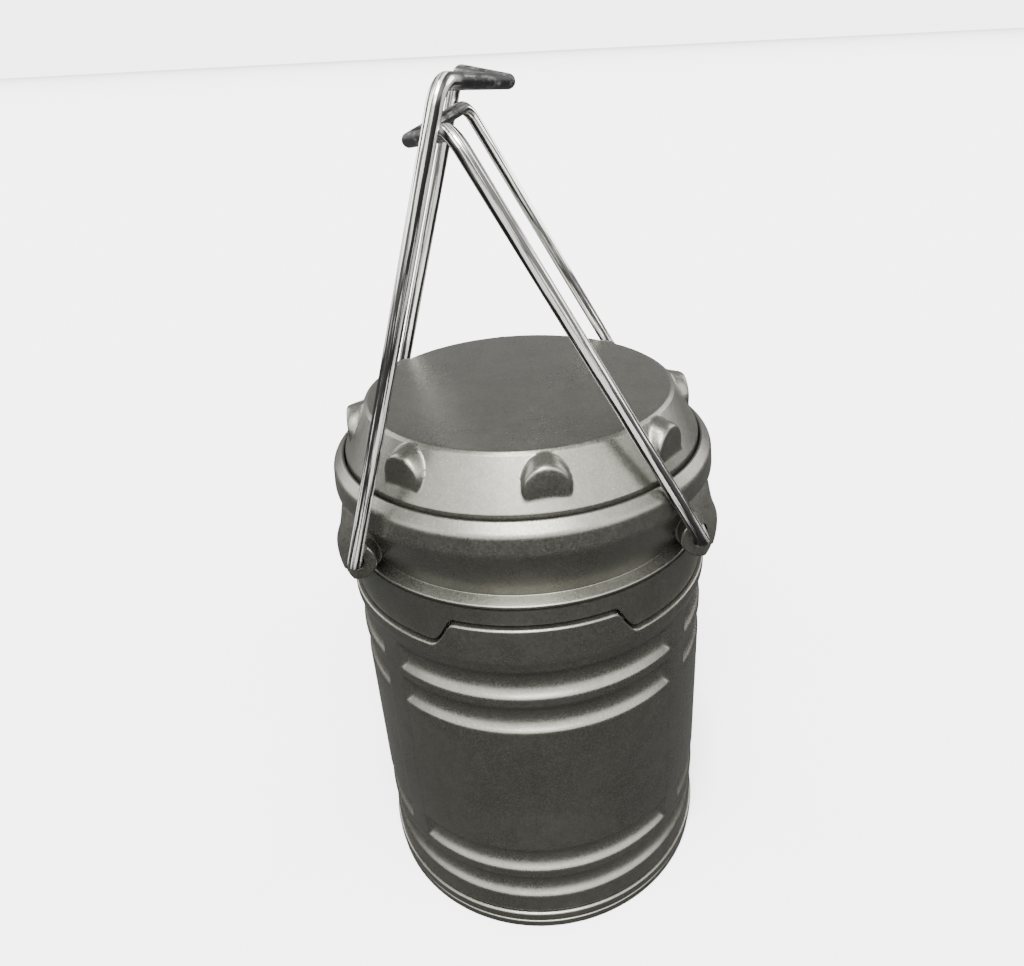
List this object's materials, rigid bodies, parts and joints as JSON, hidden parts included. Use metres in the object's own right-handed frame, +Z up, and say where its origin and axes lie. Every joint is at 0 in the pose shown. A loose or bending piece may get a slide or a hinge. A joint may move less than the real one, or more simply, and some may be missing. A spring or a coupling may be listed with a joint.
{
  "type": "camping lantern",
  "caption": "Pull-up battery camping lantern with a ribbed round barrel, a flared collar, a sliding head over an LED column, and two hinged wire bails that prop each other upright.",
  "frame": {"origin": "centre of the underside, on the ground plane", "axes": "+Z up along the barrel, -Y towards the front, +X to the right seen from the front"},
  "size_m": [0.0884, 0.0884, 0.1983],
  "materials": {
    "graphite_shell": "satin",
    "dark_shell": "satin",
    "black_plastic": "satin",
    "white_plastic": "satin",
    "clear_sleeve": "gloss",
    "silvered_plastic": "polished",
    "green_board": "satin",
    "white_board": "satin",
    "cell_wrap": "satin",
    "gasket_rubber": "matte",
    "brass_contact": "satin",
    "spring_steel": "polished",
    "screw_steel": "satin",
    "bright_wire": "polished"
  },
  "bodies": {
    "base": {"barrel": "graphite_shell", "guide_ring": "black_plastic", "battery_box": "black_plastic", "battery_1": "cell_wrap", "battery_2": "cell_wrap", "battery_3": "cell_wrap", "terminal_1": "brass_contact", "terminal_2": "brass_contact", "terminal_3": "brass_contact", "contact_strip_left": "brass_contact", "contact_strip_right": "brass_contact", "box_screw_1": "screw_steel", "box_screw_2": "screw_steel", "box_screw_3": "screw_steel"},
    "cover": {"battery_cover": "graphite_shell", "cover_gasket": "gasket_rubber", "contact_plate": "brass_contact", "spring_1": "spring_steel", "spring_2": "spring_steel", "spring_3": "spring_steel"},
    "head": {"skirt": "dark_shell", "collar": "graphite_shell", "top_cap": "graphite_shell", "lens_tube": "clear_sleeve", "foot_ring": "black_plastic", "reflector": "silvered_plastic", "driver_board": "green_board", "led_column": "white_plastic", "led_board_1": "white_board", "led_board_2": "white_board", "led_board_3": "white_board", "riser_left": "brass_contact", "riser_right": "brass_contact", "cap_screw_1": "screw_steel", "cap_screw_2": "screw_steel", "cap_screw_3": "screw_steel", "cap_screw_4": "screw_steel"},
    "left_bail": {"left_bail": "bright_wire"},
    "right_bail": {"right_bail": "bright_wire"}
  },
  "joints": [
    {"name": "head_slide", "type": "slide", "parent": "base", "child": "head", "axis": [0, 0, 1], "range_m": [0, 0.058]},
    {"name": "left_bail_swing", "type": "hinge", "parent": "head", "child": "left_bail", "pos_m": [-0.0362, 0, 0.108], "axis": [0, -1, 0], "range_deg": [0, 194.7]},
    {"name": "right_bail_swing", "type": "hinge", "parent": "head", "child": "right_bail", "pos_m": [0.0362, 0, 0.108], "axis": [0, 1, 0], "range_deg": [0, 206.6]},
    {"name": "cover_twist", "type": "hinge", "parent": "base", "child": "cover", "pos_m": [0, 0, 0], "axis": [0, 0, 1], "range_deg": [0, 30]}
  ],
  "couplings": [
    {"joint": "right_bail_swing", "follows": "left_bail_swing", "ratio": 1.0608}
  ]
}
